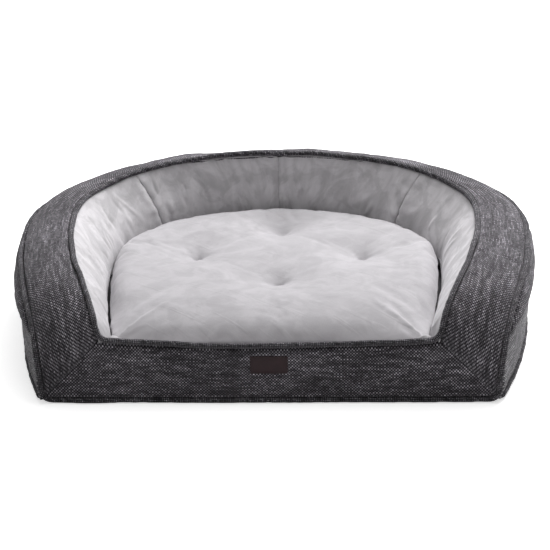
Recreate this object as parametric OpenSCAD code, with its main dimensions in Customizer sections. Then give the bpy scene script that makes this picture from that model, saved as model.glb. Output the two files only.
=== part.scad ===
// Bolstered pet cushion bed: a low front, arms that rise to a tall curved back, and a loose tufted
// cushion in the well. Every curve round the bed is a "D" in plan: a straight front, sides that swell
// outwards and a superelliptic back. A station u runs round the U of arms and back, from -1 at the
// front of the left arm, through 0 at the middle of the back, to 1 at the front of the right arm.
// Origin: centre of the footprint on the floor. +X right, +Y back, +Z up. Millimetres.

/* [Overall] */
// Width over the swell of the arms
bed_w = 965; // [900:5:1030]
// Depth from the front seam to the swell of the back
bed_d = 737; // [700:5:780]
// Height of the inner seam at the middle of the back
back_h = 228; // [218:1:234]
// Height of the inner seam above each arm
arm_h = 198; // [190:1:204]
// Height of the inner seam at the two ends of the low front
front_h = 116; // [112:1:120]
// How far the front seam sags between its ends
front_sag = 10; // [6:1:12]
// Height of the seam between the base tier and the bolster tier
tier_h = 108; // [100:1:112]

/* [Bolster] */
// How much lower the outer seam is than the inner seam on the arms
arm_fall = 32; // [24:1:36]
// How much lower the outer seam is than the inner seam at the back
back_fall = 37; // [30:1:40]
// How far the top panel is crowned above its seams
top_crown = 12; // [6:1:14]
// How far the bolster tier of the outer wall swells between its seams
wall_swell = 14.5; // [10:0.5:15]
// How far the base tier of the outer wall swells
base_swell = 4; // [2:0.5:5]

/* [Sewing] */
// Thickness of the woven cover and of the lining, with its backing
fabric_t = 2; // [1.5:0.1:2.4]
// Radius of the piping on the two seams of the top panel
welt_r = 5; // [4.5:0.1:5.2]
// Radius of the thicker piping round the foot of the outer wall
base_welt_r = 7; // [6:0.5:7.5]
// Free space between neighbouring layers
gap = 0.4; // [0.3:0.05:0.5]

/* [Cushion] */
// Height of the cushion's underside, on the deck over the base foam
deck_z = 62; // [58:1:64]
// Thickness of the cushion at its crown
cushion_t = 66; // [56:1:70]
// Depth of each tuft below the crown
tuft_depth = 17; // [10:1:22]
// Half of the spacing between the left and right tufts
tuft_x = 155; // [130:1:170]
// Half of the spacing between the front and back tufts
tuft_y = 118; // [100:1:125]

/* [Zip] */
// Height of the zip in the back of the base tier
zip_z = 38; // [36:1:40]
// Half of the zip's length
zip_half = 185; // [160:1:190]

/* [Hidden] */

// Where the sides of every D curve end and its rounded back begins
mid_y = 20;
// Superellipse exponent of the rounded back, and the rounder one of the seat well
back_n = 2.3;
well_n = 2.0;
// Share of a half of the U that its side takes
side_share = 0.5;
// Stations are closer together towards the front, where the arms rise steeply
crowding = 1.6;
// Stations from the front of one arm to the front of the other
stations = 48;
half_w = bed_w / 2;
half_d = bed_d / 2;
// Stations where the vertical seams of the outer walls and of the lining lie
wall_seam_u = 0.375;
lining_seam_u = 0.25;
// First station of the base tier, and of the bolster tier, which starts where the arm is tall enough
base_first = 23 / 24;
bolster_first = 21 / 24;
fill_first = 22 / 24;
lining_first = 23 / 24;

// D curves: [half width, back edge, half width at the front, front edge, exponent if not back_n]
outer_welt_d = [half_w - 14, half_d - 20, half_w - 84, -half_d + welt_r];
inner_welt_d = [half_w - 107, half_d - 111, half_w - 188, -half_d + 13];
wall_top_d = [half_w - 15, half_d - 19, half_w - 83, -half_d + 8];
tier_d = [half_w - 14, half_d - 15, half_w - 78, -half_d + 8];
wall_foot_d = [half_w - 15, half_d - 11, half_w - 80, -half_d + 8];
base_welt_d = [half_w - 16, half_d - 12, half_w - 82, -half_d + 11];
bottom_d = [half_w - 22, half_d - 18, half_w - 88, -half_d + 13];
foam_d = [half_w - 24, half_d - 20.5, half_w - 91, -half_d + 20];
lining_foot_d = [half_w - 163, half_d - 124, half_w - 198, -half_d + 36, well_n];
cushion_d = [half_w - 172, half_d - 133, half_w - 205, -half_d + 44, well_n];

function unit(v) = v / norm(v);
function flat(lists) = [for (l = lists) each l];
function lerp(a, b, t) = a + (b - a) * t;
function steps(from, to, n) = [for (i = [0:n]) lerp(from, to, i / n)];

// Share of the side covered at a station, and the angle round the back
function side_share_at(s) = pow(min(1, s / side_share), crowding);
function back_angle(s) = 90 * max(0, (s - side_share) / (1 - side_share));

// A point of a D curve at station u, level with z
function d_point(u, d, z = 0) =
    let (s = 1 - abs(u), side = side_share_at(s), a = back_angle(s), n = len(d) > 4 ? d[4] : back_n)
    s < side_share
        ? [sign(u) * (d[0] - (d[0] - d[2]) * pow(1 - side, 2)), lerp(d[3], mid_y, side), z]
        : [sign(u) * d[0] * pow(cos(a), 2 / n), mid_y + (d[1] - mid_y) * pow(sin(a), 2 / n), z];

// Height of each seam at a station: a steep rise at the front of the arm, then a slow one to the back
function rise(s, reach, sharp) =
    let (along = side_share_at(s) * (mid_y + half_d))
    pow(1 - pow(1 - min(1, along / reach), 4), sharp);
function swell_to_back(s) = pow(sin(back_angle(s)), 2);
function outer_z(u) =
    let (s = 1 - abs(u), top = arm_h - arm_fall, back = back_h - back_fall)
    welt_r + (top - welt_r) * rise(s, 300, 0.5) + (back - top) * swell_to_back(s);
function inner_z(u) =
    let (s = 1 - abs(u))
    front_h + (arm_h - front_h) * rise(s, 310, 0.6) + (back_h - arm_h) * swell_to_back(s);

// The seams, as the centre lines of their piping
function outer_seam(u) = d_point(u, outer_welt_d, outer_z(u));
function inner_seam(u) = d_point(u, inner_welt_d, inner_z(u));

// Directions at a station: outwards in plan, and square to the top panel
du = 0.004;
function inside_u(u) = max(-1 + du, min(1 - du, u));
function outward(u) =
    let (v = inside_u(u), t = d_point(v + du, tier_d) - d_point(v - du, tier_d))
    unit([-t[1], t[0], 0]);
function top_normal(u) =
    let (v = inside_u(u),
         along = outer_seam(v + du) - outer_seam(v - du)
               + inner_seam(v + du) - inner_seam(v - du),
         n = unit(cross(along, inner_seam(v) - outer_seam(v))))
    n[2] < 0 ? -n : n;

// Skins, as points across the seam-to-seam width w from 0 to 1, at a depth below the outer face.
// The panels stop short of the middle of the piping, and their edges are sunk a little into the seam.
seam_edge = welt_r + 0.8;
seam_sink = 1.5;
// Radius of the piping's front corners, and how far the panels' own corners stay back from it
corner_r = 20;
corner_cut = 0.4 * corner_r;
front_crown = 2;
// The top panel is flatter at the back
back_flatter = 3;
function bulge(w) = sin(180 * w);
function sag_at(x) = front_sag * (1 - x * x);
// Out of the front panel, which leans back a little
front_rise = unit([0, inner_seam(1)[1] - outer_seam(1)[1], inner_seam(1)[2] - outer_seam(1)[2]]);
front_out = [0, -front_rise[2], front_rise[1]];
// The top panel turns into the plane of the front panel where they meet at the mitre
function mitre(u) = max(0, 1 - (1 - abs(u)) / 0.11);
function top_skin(u, w, depth) =
    let (o = outer_seam(u), i = inner_seam(u), e = unit(i - o) * (seam_edge + corner_cut * mitre(u)))
    lerp(o + e, i - e, w)
    + lerp(top_normal(u) * ((top_crown - back_flatter * swell_to_back(1 - abs(u))) * bulge(w) - seam_sink - depth),
           front_out * (front_crown * bulge(w) - seam_sink - depth), mitre(u));
function wall_top(u) = d_point(u, wall_top_d, outer_z(u) - welt_r - 1.5);
function wall_foot(u) = d_point(u, wall_foot_d, 2 * base_welt_r + 1);
function wall_tier(u, up) =
    let (top = wall_top(u), z = min(tier_h, top[2] - 4), merge = 0.8 * max(0, 1 - (top[2] - z) / 20))
    lerp(d_point(u, tier_d, z + up), [top[0], top[1], z + up], merge);
function base_skin(u, w, depth) =
    lerp(wall_foot(u), wall_tier(u, -1), w) + outward(u) * (base_swell * bulge(w) - depth);
function bolster_skin(u, w, depth) =
    lerp(wall_tier(u, 1), wall_top(u), w)
    + outward(u) * (wall_swell * bulge(w) * min(1, (outer_z(u) - tier_h) / 50) - depth);
function lining_drop(u) =
    let (v = inside_u(u), slope = unit(inner_seam(v + du) - inner_seam(v - du)))
    (welt_r + 1.5) / norm([slope[0], slope[1]]) + corner_drop * max(0, 1 - (1 - abs(u)) / 0.08);
corner_drop = 20;
function lining_skin(u, w, depth) =
    let (top = inner_seam(u) - [0, 0, lining_drop(u)], foot = d_point(u, lining_foot_d, deck_z + gap),
         lean = 1 - pow(1 - w, 1.9))
    [lerp(top[0], foot[0], lean), lerp(top[1], foot[1], lean), lerp(top[2], foot[2], w)] + outward(u) * depth;

// A closed solid between two grids of points that have the same rows and columns
module slab(outer, inner) {
    rows = len(outer);
    cols = len(outer[0]);
    below = rows * cols;
    function at(r, c) = r * cols + c;
    function quad(a, b, c, d) = [[a, b, c], [a, c, d]];
    faces = flat(concat(
        [for (r = [0:rows - 2], c = [0:cols - 2])
            quad(at(r, c), at(r, c + 1), at(r + 1, c + 1), at(r + 1, c))],
        [for (r = [0:rows - 2], c = [0:cols - 2])
            quad(below + at(r, c), below + at(r + 1, c), below + at(r + 1, c + 1), below + at(r, c + 1))],
        [for (r = [0:rows - 2])
            quad(at(r, 0), at(r + 1, 0), below + at(r + 1, 0), below + at(r, 0))],
        [for (r = [0:rows - 2])
            quad(at(r, cols - 1), below + at(r, cols - 1), below + at(r + 1, cols - 1), at(r + 1, cols - 1))],
        [for (c = [0:cols - 2])
            quad(at(0, c), below + at(0, c), below + at(0, c + 1), at(0, c + 1))],
        [for (c = [0:cols - 2])
            quad(at(rows - 1, c), at(rows - 1, c + 1), below + at(rows - 1, c + 1), below + at(rows - 1, c))]
    ));
    polyhedron(concat(flat(outer), flat(inner)), faces);
}

// A solid lofted through rings of points, capped at both ends or closed into a loop. From the ring
// "turned" on, the facets are split the other way, so that two skins that face each other match.
module loft(rings, loop = false, turned = 9999) {
    count = len(rings);
    sides = len(rings[0]);
    function at(r, k) = (r % count) * sides + k % sides;
    function middle(ring) = [for (axis = [0:2]) [for (p = ring) p[axis]] * [for (p = ring) 1] / sides];
    walls = flat([for (r = [0:count - (loop ? 1 : 2)], k = [0:sides - 1])
        r < turned
            ? [[at(r, k), at(r + 1, k), at(r + 1, k + 1)], [at(r, k), at(r + 1, k + 1), at(r, k + 1)]]
            : [[at(r, k), at(r + 1, k), at(r, k + 1)], [at(r + 1, k), at(r + 1, k + 1), at(r, k + 1)]]]);
    caps = loop ? [] : concat(
        [for (k = [0:sides - 1]) [count * sides, at(0, k), at(0, k + 1)]],
        [for (k = [0:sides - 1]) [count * sides + 1, at(count - 1, k + 1), at(count - 1, k)]]);
    ends = loop ? [] : [middle(rings[0]), middle(rings[count - 1])];
    polyhedron(concat(flat(rings), ends), concat(walls, caps));
}

// A ring of points round a path point, square to the path. The centre of the bed tells it which way is out.
bed_centre = [0, -40, 60];
function ring(path, i, r, sides, loop) =
    let (n = len(path),
         before = path[loop ? (i + n - 1) % n : max(0, i - 1)],
         after = path[loop ? (i + 1) % n : min(n - 1, i + 1)],
         t = unit(after - before),
         side = unit(cross(t, path[i] - bed_centre)),
         out = cross(side, t))
    [for (k = [0:sides - 1]) let (a = 360 * (k + 0.5) / sides) path[i] + r * (cos(a) * out + sin(a) * side)];
module tube(path, r, bore, sides, loop) {
    difference() {
        loft([for (i = [0:len(path) - 1]) ring(path, i, r, sides, loop)], loop);
        if (bore > 0)
            loft([for (i = [0:len(path) - 1]) ring(path, i, bore, sides, loop)], loop);
    }
}

// The U of stations, and a closed seam: the U, then the straight front with a rounded corner at each end
all_u = [for (i = [0:stations]) -1 + 2 * i / stations];
function u_from(a, b) = [for (i = [0:stations]) let (u = all_u[i]) if (u > a - 0.001 && u < b + 0.001) u];
function corner(p, a, b) =
    let (from = p + unit(a - p) * corner_r, to = p + unit(b - p) * corner_r)
    [for (t = [0:0.25:1]) lerp(lerp(from, p, t), lerp(p, to, t), t)];
function closed_seam(points, sag = 0) =
    let (last = len(points) - 1,
         clear_of = function (p, q) norm(p - q) > corner_r * 1.3,
         kept = [for (p = points) if (clear_of(p, points[0]) && clear_of(p, points[last])) p])
    concat(kept,
        corner(points[last], kept[len(kept) - 1], points[0]),
        [for (t = [0.1:0.1:0.9]) lerp(points[last], points[0], t) - [0, 0, sag * (1 - pow(1 - 2 * t, 2))]],
        corner(points[0], points[last], kept[0]));

// ---- covers and lining ----

// A panel of cover: skin gives its points at a station, a share of its width and a depth
module panel(along, across, skin) {
    slab([for (a = along) [for (b = across) skin(a, b, 0)]],
         [for (a = along) [for (b = across) skin(a, b, fabric_t)]]);
}

module top_panel() {
    color("#47464a") panel(u_from(-1, 1), steps(0, 1, 4), function (u, w, depth) top_skin(u, w, depth));
}

// The front panel is a trapezium between its mitred ends
function front_skin(x, w, depth) =
    let (low = outer_seam(1), high = inner_seam(1), way = unit(high - low),
         e = way * lerp(seam_edge / norm([way[1], way[2]]), seam_edge + corner_cut, max(0, 5 * abs(x) - 4)),
         p = lerp(low + e, high - e, w))
    [x * (p[0] - gap), p[1], p[2] - w * sag_at(x)] + front_out * (front_crown * bulge(w) - seam_sink - depth);
module front_panel() {
    color("#3a393d") panel(steps(-1, 1, 10), steps(0, 1, 3), function (x, w, depth) front_skin(x, w, depth));
}

module bolster_wall(from, to) {
    color("#504f54")
        panel(u_from(from, to), steps(0, 1, 4), function (u, w, depth) bolster_skin(u, w, depth));
}
module base_band(from, to) {
    color("#8b8a8f")
        panel(u_from(from, to), steps(0, 1, 4), function (u, w, depth) base_skin(u, w, depth));
}
// The back of the base tier has a slit for the zip
module base_band_back() {
    color("#8b8a8f") difference() {
        base_band(-wall_seam_u, wall_seam_u);
        translate([-zip_half - 4, half_d - 60, zip_z - 5]) cube([2 * zip_half + 8, 80, 10]);
    }
}
module lining(from, to) {
    color("#bdbbc0")
        panel(u_from(from, to), steps(0, 1, 4), function (u, w, depth) lining_skin(u, w, depth));
}
function front_lining_y(z) =
    lerp(lining_foot_d[3], inner_welt_d[3] + 4, max(0, (z - deck_z) / (front_h - deck_z)));
module lining_front() {
    top = front_h - front_sag - welt_r - 1.5;
    foot = deck_z + gap;
    reach = lining_foot_d[2] - 6;
    color("#bdbbc0") rotate([90, 0, 90]) translate([0, 0, -reach]) linear_extrude(2 * reach)
        polygon([[front_lining_y(foot), foot], [front_lining_y(top), top],
                 [front_lining_y(top) - fabric_t, top], [front_lining_y(foot) - fabric_t, foot]]);
}

// ---- piping ----

outer_path = closed_seam([for (u = all_u) outer_seam(u)]);
inner_path = closed_seam([for (u = all_u) inner_seam(u)], front_sag);
base_path = [for (u = u_from(-base_first, base_first)) d_point(u, base_welt_d, base_welt_r)];
sleeve_t = 1.5;
module outer_welt() {
    color("#38373b") tube(outer_path, welt_r, welt_r - sleeve_t, 8, true);
}
module outer_welt_cord() {
    color("#d8d4c8") tube(outer_path, welt_r - sleeve_t - gap, 0, 8, true);
}
module inner_welt() {
    color("#38373b") tube(inner_path, welt_r, welt_r - sleeve_t, 8, true);
}
module inner_welt_cord() {
    color("#d8d4c8") tube(inner_path, welt_r - sleeve_t - gap, 0, 8, true);
}
module base_welt() {
    color("#5a595e") tube(base_path, base_welt_r, base_welt_r - sleeve_t, 8, false);
}
module base_welt_cord() {
    color("#d8d4c8") tube(base_path, base_welt_r - sleeve_t - gap, 0, 8, false);
}

// ---- filling ----

// Section of the bolster's filling at a station, just inside the covers and above the foam
fill_z = deck_z + gap;
fill_inset = fabric_t + gap + 2.2;
function fill_section(u) =
    let (foot = d_point(u, wall_foot_d, fill_z) - outward(u) * fill_inset,
         shoulder = wall_tier(u, 0) - outward(u) * fill_inset)
    concat(
        [foot, lerp(foot, shoulder, 0.9)],
        [for (w = [0, 0.25, 0.5, 0.75]) bolster_skin(u, w, fill_inset)],
        [for (w = [0.05, 0.25, 0.5, 0.75, 0.95]) top_skin(u, w, fill_inset)],
        [for (w = [0.25, 0.5, 0.75, 1]) lining_skin(u, w, fill_inset)]);
module bolster_fill(from, to) {
    color("#efedea") loft([for (u = u_from(from, to)) fill_section(u)]);
}
module front_fill() {
    top = front_h - front_sag - 10;
    reach = lining_foot_d[2] - 10;
    front_low = outer_seam(1)[1] + 8;
    front_high = inner_seam(1)[1] + 4.5;
    color("#efedea") rotate([90, 0, 90]) translate([0, 0, -reach]) linear_extrude(2 * reach)
        polygon([[lerp(front_low, front_high, 0.5), fill_z], [front_high, top],
                 [front_lining_y(top) - fabric_t - gap, top],
                 [front_lining_y(fill_z) - fabric_t - gap, fill_z]]);
}

// ---- base ----

function outline(d, from) = [for (u = u_from(-from, from)) let (p = d_point(u, d)) [p[0], p[1]]];
module plate(d, z, t) {
    translate([0, 0, z]) linear_extrude(t) polygon(outline(d, 1));
}
bottom_t = 1.8;
deck_t = 1.6;
module bottom_panel() { color("#1d1d1f") plate(bottom_d, 0, bottom_t); }
module base_foam() { color("#e6d9a8") plate(foam_d, bottom_t + gap, deck_z - deck_t - bottom_t - 3 * gap); }
module deck_panel() { color("#6d6c70") plate(lining_foot_d, deck_z - deck_t - gap, deck_t); }

// ---- label on the front ----

label_w = 66;
label_h = 33;
label_t = 1.2;
label_up = 67;
label_off = front_crown - seam_sink + 0.3;
// A place on the front panel's middle line, so far off its face
module on_front(out) {
    lean = atan2(front_out[2], -front_out[1]);
    low = outer_seam(1);
    translate([0, low[1], low[2]]) rotate([-lean, 0, 0]) translate([0, -out, label_up]) children();
}
module label() {
    color("#3b2527") on_front(label_off + label_t) translate([-label_w / 2, 0, -label_h / 2])
        cube([label_w, label_t, label_h]);
}
module label_stitching() {
    pitch = 6;
    inset = 3;
    stitch = [4, 0.5, 0.8];
    color("#1c1214") on_front(label_off + label_t + 0.6) {
        for (side = [-1, 1], i = [-4:4])
            translate([i * pitch - stitch[0] / 2, 0, side * (label_h / 2 - inset) - stitch[2] / 2])
                cube(stitch);
        for (side = [-1, 1], i = [-2:2])
            translate([side * (label_w / 2 - inset) - stitch[2] / 2, 0, i * pitch - stitch[0] / 2])
                cube([stitch[2], stitch[1], stitch[0]]);
    }
}

// ---- zip in the back of the base tier, along an arc that fits the wall ----

zip_w = (zip_z - 2 * base_welt_r - 1) / (tier_h - 2 * base_welt_r - 2);
function zip_wall_y(x) =
    let (d = [for (k = [0:1]) lerp(wall_foot_d[k], tier_d[k], zip_w) + base_swell * bulge(zip_w)])
    mid_y + (d[1] - mid_y) * pow(1 - pow(x / d[0], back_n), 1 / back_n);
zip_drop = zip_wall_y(0) - zip_wall_y(zip_half);
zip_r = (zip_half * zip_half + zip_drop * zip_drop) / (2 * zip_drop);
zip_y = zip_wall_y(0) - zip_r;
zip_angle = asin(zip_half / zip_r);
module zip_arc(angle) {
    translate([0, zip_y, zip_z]) rotate([0, 0, 90 - angle])
        rotate_extrude(angle = 2 * angle, $fn = 360) children();
}
tape_in = zip_r - fabric_t - 2.6;
tape_w = 12;
module zip_tape_upper() {
    color("#232226") zip_arc(zip_angle) translate([tape_in, 1]) square([0.8, tape_w]);
}
module zip_tape_lower() {
    color("#232226") zip_arc(zip_angle) translate([tape_in, -1 - tape_w]) square([0.8, tape_w]);
}
coil_r = 1.3;
coil_at = tape_in + 0.8 + 0.1 + coil_r;
module zip_coil_upper() {
    color("#38373b") zip_arc(zip_angle - 1) translate([coil_at, coil_r + 0.05]) circle(coil_r, $fn = 24);
}
module zip_coil_lower() {
    color("#38373b") zip_arc(zip_angle - 1) translate([coil_at, -coil_r - 0.05]) circle(coil_r, $fn = 24);
}
// A place on the zip, at an angle from the middle of the back, with +X outwards
module on_zip(angle) {
    translate([0, zip_y, zip_z]) rotate([0, 0, 90 - angle]) children();
}
module zip_stops() {
    color("#9a9aa0") for (a = [-1, 1]) on_zip(a * (zip_angle - 0.7))
        translate([coil_at - coil_r, -1, -3]) cube([2 * coil_r + 0.4, 2, 6]);
}
// The slider wraps the two coils with a running clearance, and its bail holds the pull
slider_angle = zip_angle - 2.2;
slider_l = 11;
clear = 0.3;
pin_off = 3.6;
module zip_slider() {
    face = coil_at + coil_r + clear;
    color("#9a9aa0") on_zip(slider_angle) {
        translate([face, -slider_l / 2, -4.5]) cube([1.6, slider_l, 9]);
        for (side = [0, 1]) mirror([0, 0, side])
            translate([coil_at - coil_r + clear, -slider_l / 2, 2 * coil_r + 0.05 + clear])
                cube([2 * coil_r + clear, slider_l, 1.5]);
        for (side = [-1, 1]) translate([face + 1.6, side * 2.1 - 0.6, -0.9]) cube([2.8, 1.2, 3.6]);
        translate([face + pin_off, 0, 1.2]) rotate([90, 0, 0])
            cylinder(r = 0.75, h = 5.2, center = true, $fn = 24);
    }
}
// The pull hangs from the bail's pin, outside the slider
pull_l = 19;
module zip_pull() {
    pin_x = coil_at + coil_r + clear + pin_off;
    color("#9a9aa0") on_zip(slider_angle) translate([pin_x, 0, 1.2]) difference() {
        union() {
            rotate([90, 0, 0]) cylinder(r = 1.6, h = 2.4, center = true, $fn = 32);
            translate([0, -1.2, -5]) cube([1.2, 2.4, 4]);
            translate([0, -3.2, -pull_l]) cube([1.2, 6.4, 15]);
        }
        rotate([90, 0, 0]) cylinder(r = 0.84, h = 8, center = true, $fn = 32);
        translate([-1, -1.6, -pull_l + 2.5]) cube([4, 3.2, 5]);
    }
}

// ---- cushion ----

cushion_centre = [0, -52];
seam_z = deck_z + 30;
front_steps = 8;
// The cushion's outline: the U, then the straight front, as corners of a closed loop
cushion_edge = concat(
    [for (u = u_from(-1, 1)) let (p = d_point(u, cushion_d)) [p[0], p[1]]],
    [for (t = [1:front_steps - 1]) let (p = d_point(1, cushion_d)) [p[0] * (1 - 2 * t / front_steps), p[1]]]);
tuft_middle = [8, 8];
tufts = [for (way = [[-1, 0], [1, 0], [0, 1], [0, -1]]) tuft_middle + [way[0] * tuft_x, way[1] * tuft_y]];
function dimple(p) = max([for (t = tufts) exp(-pow(norm(p - t) / 34, 2))]);
edge_gap = fabric_t + 0.3;
// How tightly the crown turns down at the cushion's edge
edge_n = 7;
function crown_z(r, p) =
    seam_z + edge_gap + (deck_z + cushion_t - seam_z - edge_gap) * pow(1 - pow(r, edge_n), 0.5)
    - tuft_depth * dimple(p) * (r < 1 ? 1 : 0);
function under_z(r) =
    r < 0.86 ? deck_z + 3 : lerp(deck_z + 3, seam_z - edge_gap, pow((r - 0.86) / 0.14, 1.6));
radii = [0.04, 0.16, 0.28, 0.4, 0.52, 0.64, 0.75, 0.85, 0.92, 0.97, 1];
// A closed skin over the cushion's plan: rings from the middle to the edge, with a small disc in the middle
module cushion_shell(from, to, under) {
    outer = cushion_rings(from, under, radii);
    inner = cushion_rings(to, under, radii);
    loft(concat(outer, [for (i = [len(inner) - 1:-1:0]) inner[i]]), turned = len(outer));
}
function cushion_rings(depth, under, radii) =
    [for (r = radii) [for (i = [len(cushion_edge) - 1:-1:0])
        let (p = cushion_centre + (cushion_edge[i] - cushion_centre) * r * (1 - depth / 300))
        [p[0], p[1], under ? under_z(r) + depth : crown_z(r, p) - depth]]];
// Holes that the ties pass through
tie_r = 1;
module tie_holes() {
    at_tufts() translate([0, 0, deck_z]) cylinder(r = tie_r + gap, h = cushion_t + 20, $fn = 12);
}
module cushion_top() {
    color("#cfcdd2") difference() {
        cushion_shell(0, fabric_t, false);
        tie_holes();
    }
}
module cushion_underside() {
    color("#a5a3a8") difference() {
        cushion_shell(fabric_t, 0, true);
        tie_holes();
    }
}
module cushion_fill() {
    inset = fabric_t + gap + 1.2;
    inner = [for (i = [0:len(radii) - 2]) radii[i]];
    outer = [for (i = [len(inner) - 1:-1:0]) inner[i]];
    color("#f3f1ee") difference() {
        loft(concat(cushion_rings(inset, false, inner), cushion_rings(inset, true, outer)), turned = len(inner));
        tie_holes();
    }
}
module at_tufts() {
    for (t = tufts) translate([t[0], t[1], 0]) children();
}
module tuft_ties() {
    color("#8a888e") at_tufts() translate([0, 0, deck_z + 2.6])
        cylinder(r = tie_r, h = cushion_t - tuft_depth - 2, $fn = 16);
}
module tuft_buttons() {
    color("#2b2a2d") at_tufts() translate([0, 0, deck_z + 0.3]) cylinder(r = 8, h = 2.2, $fn = 32);
}

bottom_panel();
base_foam();
deck_panel();
front_panel();
top_panel();
bolster_wall(-bolster_first, -wall_seam_u);  // bolster_wall_left
bolster_wall(-wall_seam_u, wall_seam_u);  // bolster_wall_back
bolster_wall(wall_seam_u, bolster_first);  // bolster_wall_right
base_band(-base_first, -wall_seam_u);  // base_band_left
base_band_back();
base_band(wall_seam_u, base_first);  // base_band_right
lining(-lining_first, -lining_seam_u);  // lining_left
lining(-lining_seam_u, 0);  // lining_back_left
lining(0, lining_seam_u);  // lining_back_right
lining(lining_seam_u, lining_first);  // lining_right
lining_front();
inner_welt();
inner_welt_cord();
outer_welt();
outer_welt_cord();
base_welt();
base_welt_cord();
bolster_fill(-fill_first, -wall_seam_u);  // left_arm_fill
bolster_fill(-wall_seam_u, wall_seam_u);  // back_fill
bolster_fill(wall_seam_u, fill_first);  // right_arm_fill
front_fill();
label();
label_stitching();
zip_tape_upper();
zip_tape_lower();
zip_coil_upper();
zip_coil_lower();
zip_stops();
zip_slider();
zip_pull();
cushion_top();
cushion_underside();
cushion_fill();
tuft_ties();
tuft_buttons();
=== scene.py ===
import math

import bmesh
import bpy
import numpy as np
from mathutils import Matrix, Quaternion, Vector


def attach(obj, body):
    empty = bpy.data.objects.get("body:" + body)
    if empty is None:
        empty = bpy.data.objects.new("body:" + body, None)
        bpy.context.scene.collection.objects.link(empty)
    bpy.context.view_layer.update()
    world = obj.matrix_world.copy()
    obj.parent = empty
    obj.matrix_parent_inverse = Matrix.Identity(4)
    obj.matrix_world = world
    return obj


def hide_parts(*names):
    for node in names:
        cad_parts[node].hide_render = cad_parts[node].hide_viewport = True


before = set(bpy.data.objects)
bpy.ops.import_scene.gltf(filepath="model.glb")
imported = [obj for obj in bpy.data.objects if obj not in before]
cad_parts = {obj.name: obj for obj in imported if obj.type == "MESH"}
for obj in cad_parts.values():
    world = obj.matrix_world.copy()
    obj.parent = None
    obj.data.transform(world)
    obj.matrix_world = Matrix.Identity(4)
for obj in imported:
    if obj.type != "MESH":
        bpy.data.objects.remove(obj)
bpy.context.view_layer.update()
SHELL, CUSHION = "bed_shell", "seat_cushion"

# ---------------------------------------------------------------- numbers, in millimetres, as in the CAD part
HALF_W = 482.5
HALF_D = 368.5
MID_Y = 20.0
BACK_N = 2.3
WELL_N = 2.0
SIDE_SHARE = 0.5
CROWDING = 1.6
WELT_R = 5.0
BASE_WELT_R = 7.0
FRONT_H = 116.0
FRONT_SAG = 10.0
ARM_H = 198.0
BACK_H = 228.0
ARM_FALL = 32.0
BACK_FALL = 37.0
TIER_H = 108.0
WALL_SWELL = 14.5
BASE_SWELL = 4.0
COVER_T = 1.6
LINING_T = 1.2
DECK_Z = 62.0
SEAM_Z = 92.0
SEAT_TOP = 128.0
# D curves: half width, back edge, half width at the front, front edge, exponent if not BACK_N
OUTER_D = (HALF_W - 14, HALF_D - 20, HALF_W - 84, -HALF_D + WELT_R)
INNER_D = (HALF_W - 107, HALF_D - 111, HALF_W - 188, -HALF_D + 13)
WALL_TOP_D = (HALF_W - 15, HALF_D - 19, HALF_W - 83, -HALF_D + 8)
TIER_D = (HALF_W - 14, HALF_D - 15, HALF_W - 78, -HALF_D + 8)
WALL_FOOT_D = (HALF_W - 15, HALF_D - 11, HALF_W - 80, -HALF_D + 8)
BASE_WELT_D = (HALF_W - 16, HALF_D - 12, HALF_W - 82, -HALF_D + 11)
LINING_FOOT_D = (HALF_W - 163, HALF_D - 124, HALF_W - 198, -HALF_D + 36, WELL_N)
CUSHION_D = (HALF_W - 172, HALF_D - 133, HALF_W - 205, -HALF_D + 44, WELL_N)
WALL_SEAM_U = 0.375
LINING_SEAM_U = 0.25


# ---------------------------------------------------------------- curves of the bed
def side_share(s):
    return np.minimum(1, s / SIDE_SHARE) ** CROWDING


def back_angle(s):
    return np.pi / 2 * np.clip((s - SIDE_SHARE) / (1 - SIDE_SHARE), 0, 1)


def d_point(u, d, z=0.0):
    """Points of a D curve at stations u, from -1 at the left front to 1 at the right front."""
    u = np.asarray(u, float)
    s = 1 - np.abs(u)
    side, a, n = side_share(s), back_angle(s), d[4] if len(d) > 4 else BACK_N
    x = np.where(s < SIDE_SHARE, d[0] - (d[0] - d[2]) * (1 - side) ** 2, d[0] * np.cos(a).clip(0) ** (2 / n))
    y = np.where(s < SIDE_SHARE, d[3] + (MID_Y - d[3]) * side, MID_Y + (d[1] - MID_Y) * np.sin(a) ** (2 / n))
    return np.stack([np.sign(u) * x, y, np.broadcast_to(z, u.shape)], -1)


def rise(s, reach, sharp):
    along = side_share(s) * (MID_Y + HALF_D)
    return (1 - (1 - np.minimum(1, along / reach)) ** 4) ** sharp


def outer_z(u):
    s = 1 - np.abs(u)
    top, back = ARM_H - ARM_FALL, BACK_H - BACK_FALL
    return WELT_R + (top - WELT_R) * rise(s, 300, 0.5) + (back - top) * np.sin(back_angle(s)) ** 2


def inner_z(u):
    s = 1 - np.abs(u)
    return FRONT_H + (ARM_H - FRONT_H) * rise(s, 310, 0.6) + (BACK_H - ARM_H) * np.sin(back_angle(s)) ** 2


def outer_seam(u):
    return d_point(u, OUTER_D, outer_z(u))


def inner_seam(u):
    return d_point(u, INNER_D, inner_z(u))


def sag_at(x):
    """How far the front seam sags at x from -1 to 1 between its ends."""
    return FRONT_SAG * (1 - np.asarray(x) ** 2)


def unit(v):
    return v / np.maximum(np.linalg.norm(v, axis=-1, keepdims=True), 1e-9)


def outward(u):
    v = np.clip(u, -0.996, 0.996)
    t = d_point(v + 0.004, TIER_D) - d_point(v - 0.004, TIER_D)
    return unit(np.stack([-t[..., 1], t[..., 0], 0 * t[..., 0]], -1))


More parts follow.
